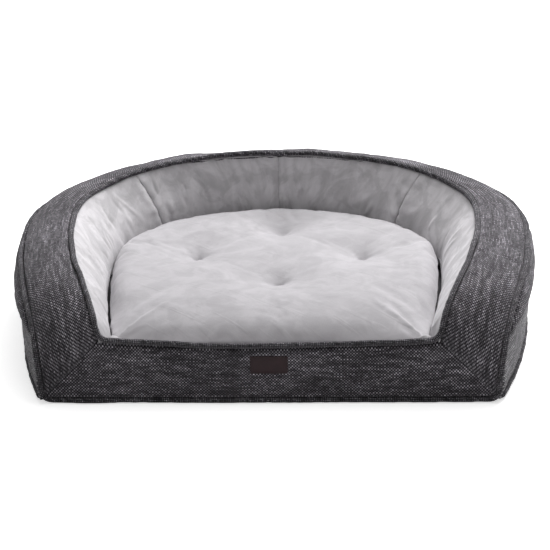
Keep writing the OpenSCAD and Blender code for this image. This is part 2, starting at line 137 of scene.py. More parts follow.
def even_stations(curve, step, start=-1.0, end=1.0):
    """Stations that are evenly spaced along a curve, and the length along it at each."""
    u = np.linspace(start, end, 4001)
    length = np.concatenate([[0], np.cumsum(np.linalg.norm(np.diff(curve(u), axis=0), axis=1))])
    count = max(2, int(round(length[-1] / step)) + 1)
    at = np.linspace(0, length[-1], count)
    return np.interp(at, length, u), at


# ---------------------------------------------------------------- seeded noise on two coordinates
TABLES = {}


def noise(x, y, seed):
    """Smooth value noise between -1 and 1, one lattice cell per unit."""
    if seed not in TABLES:
        TABLES[seed] = np.random.RandomState(seed).uniform(-1, 1, (256, 256))
    table = TABLES[seed]
    x, y = np.broadcast_arrays(np.asarray(x, float), np.asarray(y, float))
    xi, yi = np.floor(x).astype(int), np.floor(y).astype(int)
    fx, fy = x - xi, y - yi
    fx, fy = fx ** 3 * (fx * (fx * 6 - 15) + 10), fy ** 3 * (fy * (fy * 6 - 15) + 10)
    a, b = table[xi % 256, yi % 256], table[(xi + 1) % 256, yi % 256]
    c, d = table[xi % 256, (yi + 1) % 256], table[(xi + 1) % 256, (yi + 1) % 256]
    return (a * (1 - fx) + b * fx) * (1 - fy) + (c * (1 - fx) + d * fx) * fy


def cloudy(x, y, seed, octaves=3):
    total, weight = 0.0, 0.0
    for k in range(octaves):
        total = total + noise(x * 2 ** k + 17.3 * k, y * 2 ** k - 9.1 * k, seed + k) / 2 ** k
        weight += 1 / 2 ** k
    return total / weight


def wrinkles(s, t, span, count, seed, tilt=0.25, long=(25, 70), wide=(3, 7), deep=1.6):
    """Separate soft creases on a cloth: each is a ridge or a fold of its own place, length and lean."""
    r = np.random.RandomState(seed)
    total = np.zeros(np.broadcast(s, t).shape)
    for _ in range(count):
        s0, t0 = r.uniform(span[0], span[1]), r.uniform(span[2], span[3])
        lean, half = r.normal(0, tilt), r.uniform(*long) / 2
        width, height = r.uniform(*wide), r.uniform(0.35, 1) * deep * r.choice([-1, 1])
        along = (t - t0) / half
        across = (s - s0 - lean * (t - t0) - 6 * r.uniform(-1, 1) * along ** 2) / width
        total += height * np.exp(-across ** 2) * np.exp(-along ** 4)
    return total


def smooth(x, low, high):
    t = np.clip((x - low) / (high - low), 0, 1)
    return t * t * (3 - 2 * t)


# ---------------------------------------------------------------- meshes from grids of points
def grid_mesh(name, points, weave, material, body=SHELL, flip=False, wrap=False, thick=0.0):
    """A piece from rows x columns of points in millimetres; weave is each point's place on flat cloth."""
    rows, cols = points.shape[:2]
    index = np.arange(rows * cols).reshape(rows, cols)
    last = cols if wrap else cols - 1
    a = index[:-1, :last]
    b = index[:-1][:, (np.arange(last) + 1) % cols]
    c = index[1:][:, (np.arange(last) + 1) % cols]
    d = index[1:, :last]
    quads = np.stack([a, b, c, d], -1).reshape(-1, 4)
    if flip:
        quads = quads[:, ::-1]
    flat_weave = weave.reshape(-1, 2)
    return mesh_piece(name, points.reshape(-1, 3), quads.tolist(), flat_weave, material, body, thick)


def mesh_piece(name, points, faces, weave, material, body=SHELL, thick=0.0):
    mesh = bpy.data.meshes.new(name)
    mesh.from_pydata((np.asarray(points) / 1000).tolist(), [], faces)
    mesh.validate()
    at = mesh.attributes.new("weave", "FLOAT_VECTOR", "POINT")
    flat = np.zeros((len(points), 3), np.float32)
    flat[:, :2] = np.asarray(weave) / 1000
    at.data.foreach_set("vector", flat.ravel())
    mesh.polygons.foreach_set("use_smooth", np.ones(len(mesh.polygons), bool))
    mesh.update()
    piece = bpy.data.objects.new(name, mesh)
    bpy.context.scene.collection.objects.link(piece)
    if material:
        mesh.materials.append(material)
    if thick:
        m = piece.modifiers.new("cloth_thickness", "SOLIDIFY")
        m.thickness = thick / 1000
        m.offset = -1
    if body:
        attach(piece, body)
    return piece


def grid_normals(p):
    return unit(np.cross(np.gradient(p, axis=0), np.gradient(p, axis=1)))


def lengths_across(p):
    """Distance from column 0 along each row."""
    steps = np.linalg.norm(np.diff(p, axis=1), axis=-1)
    return np.concatenate([np.zeros((len(p), 1)), np.cumsum(steps, axis=1)], 1)


def on_cloth(s, t):
    """Weave places from lengths along and across, which may need broadcasting."""
    return np.stack(np.broadcast_arrays(s, t), -1)


def capped(rings):
    """The rings with each end gathered to a point, so that the tube is closed."""
    columns = rings.shape[1]
    first = np.repeat(rings[:1].mean(1, keepdims=True), columns, 1)
    last = np.repeat(rings[-1:].mean(1, keepdims=True), columns, 1)
    return np.concatenate([first, rings, last])


def weld(piece, reach=1e-6):
    """Joins the points that lie on each other, where rings close."""
    m = piece.modifiers.new("closed", "WELD")
    m.merge_threshold = reach


# ---------------------------------------------------------------- materials
class Maker:
    """Short calls for the nodes of one material."""

    def __init__(self, name):
        self.material = bpy.data.materials.new(name)
        self.material.use_nodes = True
        self.nodes = self.material.node_tree.nodes
        self.links = self.material.node_tree.links
        self.shader = self.nodes["Principled BSDF"]

    def put(self, value, socket):
        if hasattr(value, "links") or isinstance(value, bpy.types.NodeSocket):
            self.links.new(value, socket)
        elif isinstance(value, (tuple, list)):
            lacks_alpha = len(value) == 3 and len(socket.default_value) == 4
            socket.default_value = (*value, 1) if lacks_alpha else value
        else:
            socket.default_value = value

    def times(self, a, b):
        return self.math("MULTIPLY", a, b)

    def math(self, op, a, b=0.0, c=0.0):
        n = self.nodes.new("ShaderNodeMath")
        n.operation = op
        for v, s in zip((a, b, c), n.inputs):
            self.put(v, s)
        return n.outputs[0]

    def xyz(self, vector):
        n = self.nodes.new("ShaderNodeSeparateXYZ")
        self.put(vector, n.inputs[0])
        return n.outputs

    def join(self, x, y, z=0.0):
        n = self.nodes.new("ShaderNodeCombineXYZ")
        for v, s in zip((x, y, z), n.inputs):
            self.put(v, s)
        return n.outputs[0]

    def place(self, name="weave"):
        n = self.nodes.new("ShaderNodeAttribute")
        n.attribute_name = name
        return n.outputs["Vector"]

    def object_place(self):
        return self.nodes.new("ShaderNodeTexCoord").outputs["Object"]

    def noise(self, vector, scale, detail=2.0, rough=0.5, distortion=0.0):
        n = self.nodes.new("ShaderNodeTexNoise")
        self.put(vector, n.inputs["Vector"])
        self.put(scale, n.inputs["Scale"])
        self.put(detail, n.inputs["Detail"])
        self.put(rough, n.inputs["Roughness"])
        self.put(distortion, n.inputs["Distortion"])
        return n.outputs["Fac"]

    def remap(self, value, low, high, to_low=0.0, to_high=1.0):
        n = self.nodes.new("ShaderNodeMapRange")
        for v, s in zip((value, low, high, to_low, to_high), n.inputs):
            self.put(v, s)
        return n.outputs[0]

    def mix(self, factor, a, b):
        n = self.nodes.new("ShaderNodeMix")
        n.data_type = "RGBA"
        self.put(factor, n.inputs[0])
        self.put(a, n.inputs[6])
        self.put(b, n.inputs[7])
        return n.outputs[2]

    def scale_colour(self, colour, value):
        n = self.nodes.new("ShaderNodeVectorMath")
        n.operation = "SCALE"
        self.put(colour, n.inputs[0])
        self.put(value, n.inputs["Scale"])
        return n.outputs[0]

    def bump(self, height, distance, strength=1.0, normal=None):
        n = self.nodes.new("ShaderNodeBump")
        self.put(height, n.inputs["Height"])
        n.inputs["Distance"].default_value = distance
        n.inputs["Strength"].default_value = strength
        if normal is not None:
            self.links.new(normal, n.inputs["Normal"])
        return n.outputs[0]

    def finish(self, colour, roughness, normal=None, **constants):
        self.put(colour, self.shader.inputs["Base Color"])
        self.put(roughness, self.shader.inputs["Roughness"])
        if normal is not None:
            self.links.new(normal, self.shader.inputs["Normal"])
        for key, value in constants.items():
            self.put(value, self.shader.inputs[key.replace("_", " ")])
        return self.material


def tweed(name, dark, light, slub, cell=0.0028, sheen=0.3, runs_by=0.33):
    """A coarse plain weave of thick yarns: dark warp, and weft that turns pale along some of its length."""
    k = Maker(name)
    place = k.place()
    x, y, _ = k.xyz(place)
    x = k.math("MULTIPLY_ADD", k.math("SUBTRACT", k.noise(place, 60, 2), 0.5), 0.0020, x)
    y = k.math("MULTIPLY_ADD", k.math("SUBTRACT", k.noise(place, 45, 2, 0.5, 0.3), 0.5), 0.0020, y)
    a, b = k.math("DIVIDE", x, cell), k.math("DIVIDE", y, cell)
    i, j = k.math("FLOOR", a), k.math("FLOOR", b)
    over = k.math("PINGPONG", k.math("ADD", i, j), 1.0)
    round_a = k.math("SINE", k.times(k.math("FRACT", a), math.pi))
    round_b = k.math("SINE", k.times(k.math("FRACT", b), math.pi))
    weft_top = k.times(k.math("POWER", round_b, 0.75), k.remap(round_a, 0, 1, 0.35, 1.0))
    warp_top = k.times(k.math("POWER", round_a, 0.75), k.remap(round_b, 0, 1, 0.35, 1.0))
    height = k.math("ADD", k.times(over, weft_top),
                    k.times(k.math("SUBTRACT", 1.0, over), warp_top))
    ply = k.math("SINE", k.times(k.math("MULTIPLY_ADD", y, 1.7, x), 2 * math.pi / 0.00095))
    weft = k.noise(k.join(k.times(x, 30), k.times(j, 3.71)), 1.0, 3, 0.65)
    weft = k.remap(weft, 0.44, 0.72, 0.3, 1.35)
    warp = k.noise(k.join(k.times(i, 5.13), k.times(y, 50)), 1.0, 3, 0.6)
    warp = k.remap(warp, 0.5, 0.78, 0.0, 0.14)
    fleck = k.noise(k.join(k.times(i, 2.77), k.times(j, 3.19)), 1.0, 1, 0.5)
    fleck = k.remap(fleck, 0.32, 0.68, 0.45, 1.4)
    pale = k.times(k.math("ADD", k.times(over, weft),
                                     k.times(k.math("SUBTRACT", 1.0, over), warp)), fleck)
    pale = k.times(pale, slub)
    colour = k.mix(pale, dark, light)
    lint = k.noise(place, 1400, 2, 0.7)
    hairy = k.remap(k.math("MULTIPLY_ADD", ply, 0.07, lint), 0.3, 0.7, 0.76, 1.24)
    shade = k.times(k.remap(height, 0.1, 0.9, 0.24, 1.3), hairy)
    broad = k.remap(k.noise(k.object_place(), 9, 3, 0.55), 0.3, 0.7, 0.76, 1.24)
    runs = k.noise(k.join(k.times(x, 9), k.times(y, 85)), 1.0, 3, 0.6)
    runs = k.remap(runs, 0.34, 0.66, 1 - runs_by, 1 + runs_by)
    colour = k.scale_colour(colour, k.times(shade, k.times(broad, runs)))
    bump = k.bump(k.math("ADD", height, k.times(lint, 0.25)), 0.0009, 0.85)
    return k.finish(colour, k.remap(lint, 0.3, 0.7, 0.82, 0.98), bump,
                    Sheen_Weight=sheen, Sheen_Roughness=0.5, Sheen_Tint=(0.8, 0.78, 0.82),
                    Specular_IOR_Level=0.15)


def plush(name, base, nap_x, nap_y, worn, creased, sheen=0.35):
    """Short velvety pile: a soft sheen, and brushed patches where the nap lies differently."""
    k = Maker(name)
    place = k.place()
    x, y, _ = k.xyz(place)
    stretched = k.join(k.times(x, nap_x), k.times(y, nap_y))
    brushed = k.remap(k.noise(stretched, 1.0, 4, 0.6, 1.1), 0.36, 0.64, 1 - worn, 1 + worn / 2)
    patch = k.remap(k.noise(place, 17, 4, 0.6, 1.4), 0.44, 0.58, 1 - worn, 1 + worn / 2)
    pile = k.noise(place, 1500, 2, 0.75)
    fine = k.remap(pile, 0.3, 0.7, 0.92, 1.06)
    tone = k.times(k.times(brushed, patch), fine)
    colour = k.scale_colour(k.mix(k.noise(place, 6, 2), base, tuple(c * 0.95 for c in base)), tone)
    normal = k.bump(k.noise(stretched, 2.2, 3, 0.6, 0.6), 0.0010, 0.3)
    lean_x = k.math("SUBTRACT", k.times(x, 7), k.times(y, 5))
    lean_y = k.math("ADD", k.times(x, 36), k.times(y, 52))
    crease = k.remap(k.noise(k.join(lean_x, lean_y), 1.0, 2, 0.5, 0.8), 0.56, 0.72)
    normal = k.bump(crease, 0.0016, creased, normal)
    normal = k.bump(pile, 0.0003, 0.5, normal)
    return k.finish(colour, k.remap(pile, 0.3, 0.7, 0.86, 1.0), normal,
                    Sheen_Weight=sheen, Sheen_Roughness=0.4, Sheen_Tint=(0.96, 0.95, 0.98),
                    Specular_IOR_Level=0.1)


def plain_cloth(name, base, thread=0.0009, sheen=0.05):
    """A thin plain-woven cloth, for the deck, the zip's tape and the backing."""
    k = Maker(name)
    place = k.place()
    x, y, _ = k.xyz(place)
    wave = k.math("ADD", k.math("SINE", k.times(x, math.pi / thread)),
                  k.math("SINE", k.times(y, math.pi / thread)))
    tone = k.remap(wave, -2, 2, 0.72, 1.15)
    worn = k.remap(k.noise(place, 30, 3, 0.6), 0.3, 0.7, 0.9, 1.1)
    cloth = k.mix(k.noise(place, 200, 2), base, tuple(c * 0.8 for c in base))
    colour = k.scale_colour(cloth, k.times(tone, worn))
    return k.finish(colour, k.remap(worn, 0.9, 1.1, 0.8, 0.95), k.bump(wave, 0.00025, 0.6),
                    Sheen_Weight=sheen, Specular_IOR_Level=0.2)


def solid_finish(name, base, grain, rough=(0.3, 0.5), metallic=0.0, depth=0.0002, wear=0.15):
    """Leather, plastic, rubber or metal: a grain, faint wear and varying gloss."""
    k = Maker(name)
    place = k.object_place()
    fine = k.noise(place, grain, 4, 0.6, 0.4)
    broad = k.noise(place, grain / 14, 3, 0.6)
    tone = k.times(*(k.remap(n, 0.3, 0.7, 1 - wear, 1 + wear) for n in (fine, broad)))
    colour = k.scale_colour(k.mix(broad, base, tuple(c * 0.85 for c in base)), tone)
    return k.finish(colour, k.remap(fine, 0.3, 0.7, *rough), k.bump(fine, depth, 0.6), Metallic=metallic)


TWEED = tweed("charcoal_tweed", (0.010, 0.0078, 0.011), (0.48, 0.455, 0.495), 0.85, sheen=0.25)
PIPING = tweed("piping_tweed", (0.010, 0.008, 0.011), (0.42, 0.405, 0.435), 0.75, cell=0.0022, sheen=0.25)
# A paler copy of the charcoal tweed for the base tier and the zip lips: partly the band's own paler cloth,
# partly a painted highlight for the light that low band catches.
PALE_AND_LIT_TWEED = tweed("heather_tweed", (0.07, 0.066, 0.073), (0.75, 0.74, 0.76), 1.0, sheen=0.3, runs_by=0.14)
SEAT_PLUSH = plush("seat_plush", (0.42, 0.407, 0.424), 12, 22, 0.06, 0.18)
LINING_PLUSH = plush("lining_plush", (0.56, 0.545, 0.562), 30, 11, 0.13, 0.06)
BACKING = plain_cloth("backing_cloth", (0.16, 0.155, 0.165))
LEATHER = solid_finish("label_leather", (0.028, 0.010, 0.013), 900, (0.62, 0.8), 0, 0.0003, 0.2)
THREAD = solid_finish("thread_dark", (0.03, 0.022, 0.024), 2500, (0.6, 0.8))
GREY_THREAD = solid_finish("thread_grey", (0.22, 0.215, 0.225), 2500, (0.6, 0.8))
TAPE = plain_cloth("zip_tape", (0.02, 0.02, 0.022), 0.0006)
COIL = solid_finish("zip_coil", (0.03, 0.03, 0.033), 1500, (0.3, 0.45))
METAL = solid_finish("zip_metal", (0.32, 0.32, 0.33), 700, (0.25, 0.42), 1.0, 0.00008, 0.08)
BUTTON = solid_finish("button_plastic", (0.05, 0.05, 0.054), 600, (0.3, 0.45))
GRIP = plain_cloth("non_slip_cloth", (0.018, 0.018, 0.02), 0.0008)
DOTS = solid_finish("non_slip_dots", (0.03, 0.03, 0.033), 500, (0.45, 0.6))

# ---------------------------------------------------------------- the bolster's covers


def pad(piece, nodes):
    if nodes:
        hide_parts(*nodes)
    return piece


def top_cover():
    """The wide panel over arms and back, between the two pipings, with a mitre seam at each front end."""
    u, along = even_stations(lambda v: (outer_seam(v) + inner_seam(v)) / 2, 3.2)
    w = np.linspace(0, 1, 49)
    o, i = outer_seam(u)[:, None], inner_seam(u)[:, None]
    p = o + (i - o) * w[None, :, None]
    width = np.linalg.norm(i - o, axis=-1)
    d = np.minimum(w, 1 - w)[None] * width
    s, t = along[:, None], w[None] * width
    normal = grid_normals(p)
    normal = normal * np.sign(normal[..., 2:3] + 1e-6)
    end = np.minimum(s, along[-1] - s)
    mitre = smooth(end, 0, 60)
    back = np.sin(back_angle(1 - np.abs(u)))[:, None] ** 2
    crown = (12.0 - 3 * back) * np.sin(np.pi * w)[None] ** 0.7 * (0.2 + 0.8 * mitre)
    dent = (2.0 + 1.2 * back) * cloudy(s / 70, t / 75, 11) * smooth(d, 4, 28)
    lumps = 1.8 * back * noise(s / 52, t / 120, 27) * smooth(d, 6, 30)
    pucker = 1.2 * noise(s / 15, t / 50, 21) * np.exp(-np.maximum(d - 6, 0) / 12) * mitre
    crease = wrinkles(s, t, (60, along[-1] - 60, 5, 95), 46, 5, 0.5, (18, 46), (3, 6), 1.1) * smooth(d, 4, 14)
    groove = -6.8 * (1 - smooth(d, 4.0, 8.5)) - 1.6 * np.exp(-(end / 2.2) ** 2)
    p = p + normal * (crown + dent + lumps + pucker + crease + groove)[..., None]
    p[..., 2] = np.maximum(p[..., 2], 2.4)
    piece = grid_mesh("top_cover", p, on_cloth(s, t), TWEED, thick=COVER_T)
    pad(piece, ("top_panel", "left_arm_fill", "back_fill", "right_arm_fill"))


FRONT_LOW, FRONT_HIGH = outer_seam(np.array([1.0]))[0], inner_seam(np.array([1.0]))[0]
FRONT_OUT = unit(np.array([0, -(FRONT_HIGH - FRONT_LOW)[2], (FRONT_HIGH - FRONT_LOW)[1]]))


def front_cover():
    n = 270
    w = np.linspace(0, 1, 41)
    x = np.linspace(-1, 1, n)
    edge = FRONT_LOW[None] + (FRONT_HIGH - FRONT_LOW)[None] * w[:, None]
    z = edge[None, :, 2] - w[None] * sag_at(x)[:, None]
    p = np.stack([x[:, None] * edge[None, :, 0], np.broadcast_to(edge[None, :, 1], z.shape), z], -1)
    height = np.linalg.norm((FRONT_HIGH - FRONT_LOW)[1:])
    t = np.broadcast_to(w[None] * height, z.shape)
    s = p[..., 0]
    d = np.minimum(w, 1 - w)[None] * height
    side = (edge[None, :, 0] - np.abs(s)) * 0.7
    crown = 3.4 * np.sin(np.pi * w)[None] ** 0.6 * smooth(side, 0, 60)
    dent = 1.4 * cloudy(s / 110, t / 60, 31) * smooth(d, 4, 24) * smooth(side, 0, 30)
    flat = smooth(np.maximum(np.abs(s) - 33, np.abs(t - 67) - 17), 0, 15)
    pucker = 0.7 * noise(s / 14, t / 40, 33) * np.exp(-np.maximum(d - 6, 0) / 9)
    groove = -6.8 * (1 - smooth(d, 4.0, 8.5)) - 1.6 * np.exp(-(side / 1.8) ** 2)
    p = p + FRONT_OUT * (crown + dent * flat + pucker + groove)[..., None]
    p[..., 2] = np.maximum(p[..., 2], 2.4)
    piece = grid_mesh("front_cover", p, np.stack([s, t], -1), TWEED, thick=COVER_T)
    pad(piece, ("front_panel", "front_fill"))


def tube(path, radius, loop=False, sides=12, seed=0, ruche=0.0):
    """Rings of points round a path, and each point's place on cloth cut on the bias."""
    path = np.asarray(path, float)
    if loop:
        before, after = np.roll(path, 1, 0), np.roll(path, -1, 0)
    else:
        before, after = np.vstack([path[:1], path[:-1]]), np.vstack([path[1:], path[-1:]])
    t = unit(after - before)
    side = unit(np.cross(t, path - np.array([0.3, -40.2, 60.0])))
    out = np.cross(side, t)
    s = np.concatenate([[0], np.cumsum(np.linalg.norm(np.diff(path, axis=0), axis=1))])
    a = np.linspace(0, 2 * np.pi, sides, endpoint=False)
    fine = 0.09 * noise(s[:, None] / 9, a[None] * 1.3, seed)
    broad = 0.07 * noise(s[:, None] / 31, 0 * a[None], seed + 1)
    r = radius * (1 + ruche * (fine + broad))
    r = np.broadcast_to(r, (len(path), sides))
    around = np.cos(a)[None, :, None] * out[:, None] + np.sin(a)[None, :, None] * side[:, None]
    p = path[:, None] + r[..., None] * around
    p[..., 2] = np.maximum(p[..., 2], 0.15)
    q = np.broadcast_to(a[None] * radius, r.shape)
    bias = np.stack([(s[:, None] + q) * 0.7071, (s[:, None] - q) * 0.7071], -1)
    return p, bias


def tube_piece(name, path, radius, material, loop=True, sides=12, ruche=1.0, body=SHELL):
    p, bias = tube(path, radius, loop, sides, sum(map(ord, name)) % 97, ruche)
    if loop:
        p, bias = np.concatenate([p, p[:1]]), np.concatenate([bias, bias[:1]])
    else:
        p = capped(p)
        bias = np.concatenate([bias[:1], bias, bias[-1:]])
    piece = grid_mesh(name, p, bias, material, body=body, wrap=True)
    weld(piece)
    return piece


def tubes_piece(name, paths, radius, material, sides=6, body=SHELL):
    """Many short tubes, such as stitches, as one piece."""
    points, faces, weave = [], [], []
    for path in paths:
        p, bias = tube(path, radius, False, sides)
        taper = np.ones(len(p))
        taper[0] = taper[-1] = 0.45
        middle = p.mean(1, keepdims=True)
        p = middle + (p - middle) * taper[:, None, None]
        base, rows = len(points), len(p)
        points.extend(p.reshape(-1, 3))
        weave.extend(bias.reshape(-1, 2))
        faces.extend(q[::-1] for q in ring_faces(base, rows, sides))
        faces.append([base + c for c in range(sides)][::-1])
        faces.append([base + (rows - 1) * sides + c for c in range(sides)])
    return mesh_piece(name, np.array(points), faces, np.array(weave), material, body)


def ring_faces(base, rings, sides):
    """Quads between rings of points that lie one after another from base on."""
    faces = []
    for i in range(rings - 1):
        here, above = base + i * sides, base + (i + 1) * sides
        for j in range(sides):
            n = (j + 1) % sides
            faces.append([here + j, above + j, above + n, here + n])
    return faces


def resample(points, step, loop=True):
    pts = np.vstack([points, points[:1]]) if loop else np.asarray(points)
    length = np.concatenate([[0], np.cumsum(np.linalg.norm(np.diff(pts, axis=0), axis=1))])
    at = np.linspace(0, length[-1], int(length[-1] / step) + 1)
    if loop:
        at = at[:-1]
    return np.stack([np.interp(at, length, pts[:, k]) for k in range(3)], -1)


def closed_seam(seam, corner_r, sag):
    """The U, then the front, which sags between its ends, with a rounded corner at each end."""
    pts = seam(even_stations(seam, 3)[0])
    a, b = pts[-1], pts[0]
    line = np.linspace(0, 1, 240)[1:-1]
    straight = a + (b - a) * line[:, None] - np.array([0, 0, 1]) * (sag * sag_at(1 - 2 * line))[:, None]

    def clear(q):
        return q[(np.linalg.norm(q - a, axis=1) > corner_r) & (np.linalg.norm(q - b, axis=1) > corner_r)]

    pts, straight = clear(pts), clear(straight)

    def corner(f, p, g):
        t = np.linspace(0, 1, 14)[1:-1, None]
        return (1 - t) ** 2 * f + 2 * t * (1 - t) * p + t ** 2 * g

    return np.vstack([pts, corner(pts[-1], a, straight[0]), straight, corner(straight[-1], b, pts[0])])


def pipings():
    for name, seam, seed, sag in (("outer_piping", outer_seam, 3, 0), ("inner_piping", inner_seam, 5, 1)):
        path = resample(closed_seam(seam, 18, sag), 3.0)
        s = np.arange(len(path)) * 3.0
        wave = np.stack([noise(s / 60, 0 * s + k, seed + k) for k in range(3)], -1) * 1.1
        wave[:, 2] = np.where(path[:, 2] < 12, 0, wave[:, 2] * 1.3)
        piece = tube_piece(name, path + wave, WELT_R, PIPING)
        node = "outer_welt" if name.startswith("outer") else "inner_welt"
        pad(piece, (node, node + "_cord"))
    u = even_stations(lambda v: d_point(v, BASE_WELT_D), 3.5, -0.975, 0.975)[0]
    path = d_point(u, BASE_WELT_D, BASE_WELT_R + 0.6)
    tuck = smooth(np.abs(u), 0.95, 0.975)
    path = path - outward(u) * (6 * tuck)[:, None]
    piece = tube_piece("base_piping", path, BASE_WELT_R - 0.6, PIPING, loop=False)
    pad(piece, ("base_welt", "base_welt_cord"))


ZIP_Z, ZIP_SLIT, ZIP_REACH = 38.0, 5.0, 189.0
WALL_FOOT_Z = 2 * BASE_WELT_R - 2


def wall_ends(u, tier):
    top = d_point(u, WALL_TOP_D, outer_z(u) - WELT_R + 1)[:, None]
    foot = d_point(u, WALL_FOOT_D, WALL_FOOT_Z)[:, None]
    foot[..., 2] = np.clip(top[..., 2] - 5, 2.5, foot[..., 2])
    z = np.minimum(TIER_H, top[..., 2] - 4)
    mid = d_point(u, TIER_D, 0)[:, None] * [1, 1, 0] + np.stack([0 * z, 0 * z, z], -1)
    merge = 0.8 * np.clip(1 - (top[..., 2:3] - mid[..., 2:3]) / 20, 0, 1)
    mid = mid + (top * [1, 1, 0] - mid * [1, 1, 0]) * merge
    return (foot, mid) if tier == "base" else (mid, top)


def walls():
    seam = WALL_SEAM_U
    for tier, first in (("base", 0.996), ("bolster", 22 / 24)):
        for side, lo, hi in (("left", -first, -seam), ("back", -seam, seam), ("right", seam, first)):
            u, s = even_stations(lambda v: d_point(v, TIER_D), 4, lo, hi)
            w = np.linspace(0, 1, 25)
            a, b = wall_ends(u, tier)
            holds_zip = tier == "base" and side == "back"
            if holds_zip:
                slit = [(ZIP_Z + k * ZIP_SLIT - WALL_FOOT_Z) / (TIER_H - WALL_FOOT_Z) for k in (-1, 1)]
                w = np.concatenate([np.linspace(0, slit[0], 7), slit, np.linspace(slit[1], 1, 17)])
                w = np.unique(w.round(6))
            p = a + (b - a) * w[None, :, None]
            out = outward(u)[:, None]
            t = lengths_across(p)
            high = t[:, -1:]
            d = np.minimum(t, high - t)
            end = np.minimum(s, s[-1] - s)[:, None]
            swell = np.sin(np.pi * w)[None] ** 0.8
            if tier == "base":
                swell = BASE_SWELL * swell
            else:
                swell = WALL_SWELL * np.clip((outer_z(u) - TIER_H) / 50, 0, 1)[:, None] * swell
            dent = 1.9 * cloudy(s[:, None] / 80, t / 50, 41 if tier == "base" else 47) * smooth(d, 2, 20)
            span = (20, s[-1] - 20, 5, 95)
            crease = wrinkles(s[:, None], t, span, 14, 53 + len(side), 0.7, (20, 50), (3, 7), 1.0)
            crease = crease * smooth(d, 2, 12)
            pucker = 0.9 * noise(s[:, None] / 16, t / 45, 59) * np.exp(-d / 10)
            groove = -3.6 * (1 - smooth(d, 0, 5)) - 1.4 * np.exp(-(end / 2.5) ** 2)
            if holds_zip:
                from_lip = np.abs(np.abs(p[..., 2] - ZIP_Z) - ZIP_SLIT)
                lip = np.exp(-(from_lip / 9) ** 2)
                inside = smooth(ZIP_REACH + 15 - np.abs(p[..., 0]), 0, 15)
                dent, crease = dent * (1 - lip * inside), crease * (1 - lip * inside)
            p = p + out * (swell + dent + crease + pucker + groove)[..., None]
            # The base tier takes the paler tweed, whose lighter colour is partly a painted highlight.
            material, slot = (PALE_AND_LIT_TWEED, "heather_tweed") if tier == "base" else (TWEED, "charcoal_tweed")
            piece = grid_mesh(f"{tier}_cover_{side}", p, on_cloth(s[:, None], t), material, thick=COVER_T)
            if holds_zip:
                open_zip(piece)
            pad(piece, (("base_band_" if tier == "base" else "bolster_wall_") + side,))


def open_zip(piece):
    """Cuts the slit for the zip into the back of the base tier."""
    bm = bmesh.new()
    bm.from_mesh(piece.data)
    inside = [f for f in bm.faces if abs(f.calc_center_median().x) < ZIP_REACH / 1000
              and abs(f.calc_center_median().z - ZIP_Z / 1000) < (ZIP_SLIT - 0.5) / 1000]
    bmesh.ops.delete(bm, geom=inside, context="FACES")
    bm.to_mesh(piece.data)
    bm.free()


def lining_points(u, w):
    """From the inner piping at w 0 down to the deck at w 1."""
    top = (inner_seam(u) - [0, 0, WELT_R - 2])[:, None]
    foot = d_point(u, LINING_FOOT_D, DECK_Z)[:, None]
    lean = (1 - (1 - w) ** 1.9)[None, :, None]
    p = top + (foot - top) * lean
    p[..., 2] = top[..., 2] + (foot[..., 2] - top[..., 2]) * w[None]
    return p


def linings():
    seam_u = LINING_SEAM_U
    spans = (("left", -1, -seam_u), ("back_left", -seam_u, 0),
             ("back_right", 0, seam_u), ("right", seam_u, 1))
    for number, (name, lo, hi) in enumerate(spans):
        u, s = even_stations(inner_seam, 2.8, lo, hi)
        w = np.linspace(0, 1, 42)
        p = lining_points(u, w)
        t = lengths_across(p)
        s0 = s[:, None] + 700 * (lo + 1)
        end = np.minimum(s, s[-1] - s)[:, None]
        if name == "left":
            end = (s[-1] - s)[:, None]
        if name == "right":
            end = s[:, None]
        inward = -outward(u)[:, None]
        front = smooth(np.abs(u), 0.99, 0.86)[:, None]
        back = np.sin(back_angle(1 - np.abs(u)))[:, None] ** 2
        belly = (13.5 - 4.5 * back + 2.0 * noise(s0 / 110, 0 * s0, 63)) * front
        belly = belly * np.sin(np.pi * w ** 1.4)[None]
        soft = np.sin(np.pi * np.clip(w, 0.02, 0.98))[None] ** 0.5
        fold = 1.7 * noise(s0 / 26, t / 150, 61) + 1.3 * cloudy(s0 / 48, t / 60, 67)
        high = float(t[:, -1].max())
        span = (float(s0.min()) + 15, float(s0.max()) - 15, 5, high * 0.8)
        fold = fold + wrinkles(s0, t, span, 18, 80 + number, 0.22, (22, 60), (3, 6), 3.0)
        near = np.exp(-end / 22)
        pull = 1.6 * near * noise(t / 11, end / 60, 69 + number) * soft
        seam = -3.2 * np.exp(-(end / 2.4) ** 2) + 1.6 * np.exp(-((end - 9) / 7) ** 2)
        gather = 1.1 * noise(s0 / 9, t / 60, 73) * np.exp(-t / 16)
        loose = soft * (0.3 + 0.7 * smooth(end, 0, 12))
        p = p + inward * (belly + (fold + gather) * loose + pull + seam * soft)[..., None]
        piece = grid_mesh("lining_cover_" + name, p, on_cloth(s0, t), LINING_PLUSH, flip=True, thick=LINING_T)
        pad(piece, ("lining_" + name,))
    low, high_y = -HALF_D + 36, INNER_D[3] + 3
    x = np.linspace(-1, 1, 170)
    w = np.linspace(0, 1, 18)
    top = FRONT_H - 3 - sag_at(x)[:, None]
    y, z = (high_y + (low - high_y) * w)[None], top + (DECK_Z - top) * w[None]
    p = np.stack(np.broadcast_arrays((INNER_D[2] - 4) * x[:, None], y, z), -1)
    t = lengths_across(p)
    p[..., 1] += 1.2 * noise(p[..., 0] / 23, t / 90, 71) * np.sin(np.pi * w)[None]
    piece = grid_mesh("lining_cover_front", p, p[..., [0, 2]], LINING_PLUSH, thick=LINING_T)
    pad(piece, ("lining_front",))


